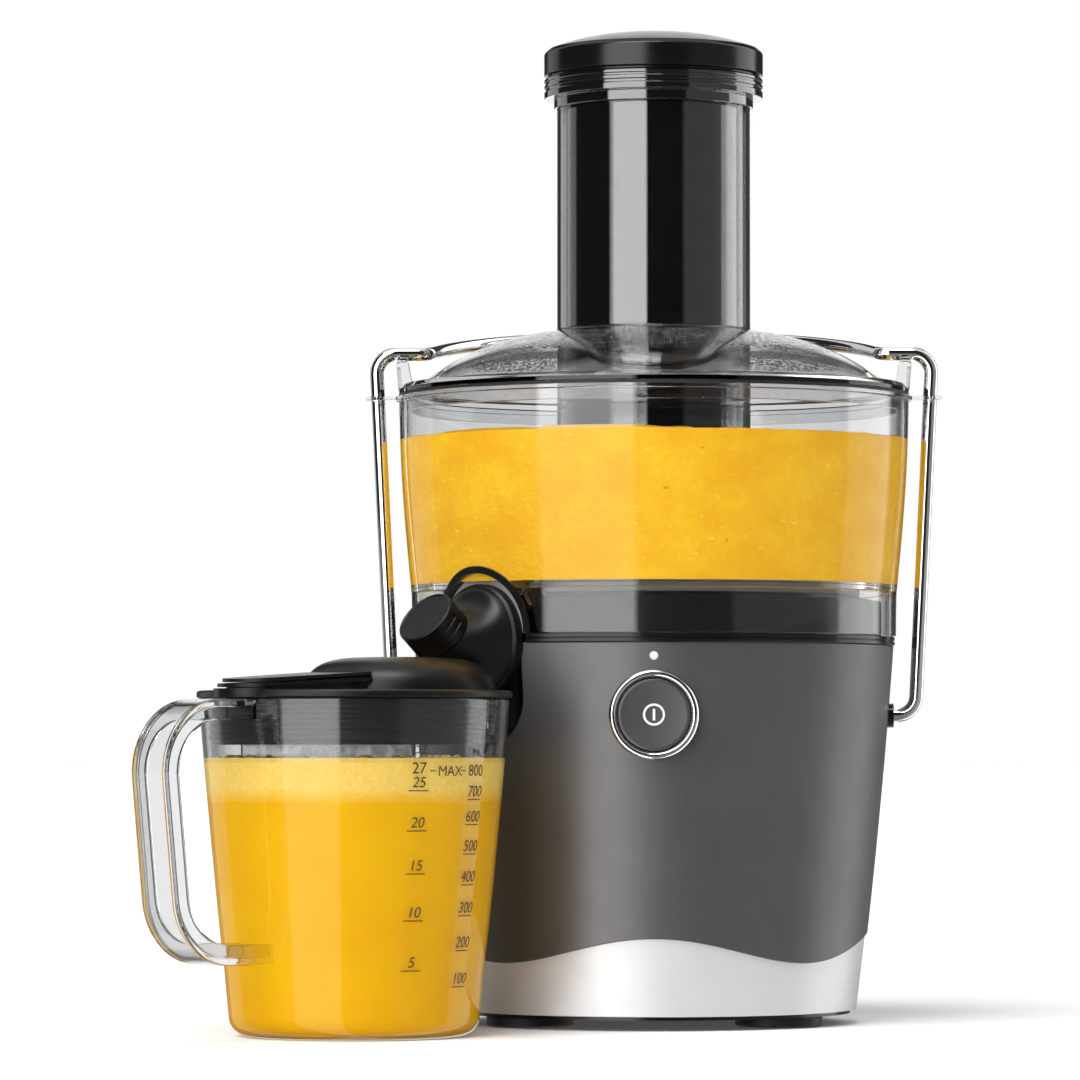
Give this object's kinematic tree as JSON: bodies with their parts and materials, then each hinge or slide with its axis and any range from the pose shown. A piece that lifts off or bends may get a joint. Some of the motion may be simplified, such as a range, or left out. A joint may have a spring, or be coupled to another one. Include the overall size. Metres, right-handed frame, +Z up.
{
  "type": "centrifugal juicer",
  "caption": "Centrifugal juicer with a wide feed chute and pusher, clear pulp bowl, chrome locking arm, drip-stop spout and a handled juice jug with a lid.",
  "frame": {"origin": "on the table, under the middle of the whole object's bounding box; the spindle stands at x 0.040, y 0.046", "axes": "+Z up along the spindle; the front with the power button faces -Y; +X is to the right seen from the front; the spout and the jug point to the front left, half way between -X and -Y"},
  "size_m": [0.3154, 0.3036, 0.405],
  "materials": {
    "black_rubber": "matte, slightly grippy",
    "grey_rubber": "matte grey silicone",
    "bright_steel": "bright turned steel",
    "black_plastic": "black satin moulding",
    "black_gloss": "polished black moulding",
    "silver_paint": "fine satin silver",
    "grey_paint": "satin dark warm grey with a fine metallic grain",
    "chrome": "bright polished plating",
    "white_print": "smooth off-white",
    "clear_plastic": "clear, polished, slightly cool",
    "frosted_plastic": "translucent, lightly frosted",
    "sieve_steel": "stamped stainless steel",
    "cast_alloy": "die cast, as cast",
    "motor_steel": "stacked lamination steel, oiled",
    "copper": "enamelled copper",
    "brass": "bright brass",
    "carbon": "pressed carbon",
    "board": "green lacquered board with dark parts"
  },
  "bodies": {
    "base": {"feet": "black_rubber", "base_screws": "bright_steel", "base_plate": "black_plastic", "silver_band": "silver_paint", "body_shell": "grey_paint", "recess_liner": "black_plastic", "top_deck": "black_plastic", "trim_ring": "black_plastic", "button_ring": "chrome", "led_lens": "white_print", "control_board": "board", "power_switch": "black_plastic", "motor_stator": "motor_steel", "field_coils": "copper", "upper_bracket": "cast_alloy", "lower_bracket": "cast_alloy", "bearings": "bright_steel", "motor_mounts": "black_rubber", "motor_screws": "bright_steel", "brush_holders": "brass", "carbon_brushes": "carbon", "cord_gland": "black_plastic", "interlock_switch": "black_plastic", "pivot_bushings": "black_plastic", "shaft_seal": "black_rubber", "bowl": "clear_plastic", "bowl_floor": "clear_plastic", "stop_ears": "clear_plastic", "juice_collector": "black_plastic", "bowl_seal": "grey_rubber", "spout_collar": "black_plastic", "spout_seal": "grey_rubber", "spout_body": "black_plastic", "lid": "clear_plastic", "feed_chute": "clear_plastic", "lid_seal": "black_rubber"},
    "drive": {"motor_shaft": "bright_steel", "rotor_core": "motor_steel", "rotor_winding": "copper", "commutator": "copper", "cooling_fan": "black_plastic", "drive_coupling": "black_plastic", "sieve_hub": "black_plastic", "sieve_mesh": "sieve_steel", "grater_disc": "sieve_steel", "sieve_rim": "black_plastic"},
    "pusher": {"pusher_body": "black_gloss", "pusher_cap": "black_plastic"},
    "arm": {"locking_arm": "chrome", "arm_cams": "bright_steel"},
    "button": {"power_button": "grey_paint", "button_spring": "bright_steel"},
    "knob": {"drip_stop_knob": "black_plastic", "knob_oring": "black_rubber"},
    "jug_body": {"jug": "clear_plastic", "jug_handle": "clear_plastic"},
    "jug_cover": {"jug_lid": "black_plastic", "lid_hood": "black_plastic", "jug_lid_seal": "black_rubber", "froth_separator": "frosted_plastic"}
  },
  "joints": [
    {"name": "pusher_slide", "type": "slide", "parent": "base", "child": "pusher", "axis": [0, 0, 1], "range_m": [0, 0.19]},
    {"name": "arm_swing", "type": "hinge", "parent": "base", "child": "arm", "pos_m": [0.04, 0.046, 0.125], "axis": [-1, 0, 0], "range_deg": [0, 105]},
    {"name": "drive_spin", "type": "hinge", "parent": "base", "child": "drive", "pos_m": [0.04, 0.046, 0.1], "axis": [0, 0, 1], "continuous": true},
    {"name": "button_press", "type": "slide", "parent": "base", "child": "button", "axis": [0, 1, 0], "range_m": [0, 0.0025], "stiffness_N_per_m": 800, "deforming": ["button_spring"]},
    {"name": "knob_turn", "type": "hinge", "parent": "base", "child": "knob", "pos_m": [-0.04401, -0.03801, 0.15589], "axis": [-0.5417, -0.5417, 0.6428], "range_deg": [0, 90]},
    {"name": "jug_slide", "type": "slide", "parent": "base", "child": "jug_body", "axis": [-0.7071, -0.7071, 0], "range_m": [0, 0.2]},
    {"name": "jug_lid_lift", "type": "slide", "parent": "jug_body", "child": "jug_cover", "axis": [0, 0, 1], "range_m": [0, 0.06]}
  ]
}
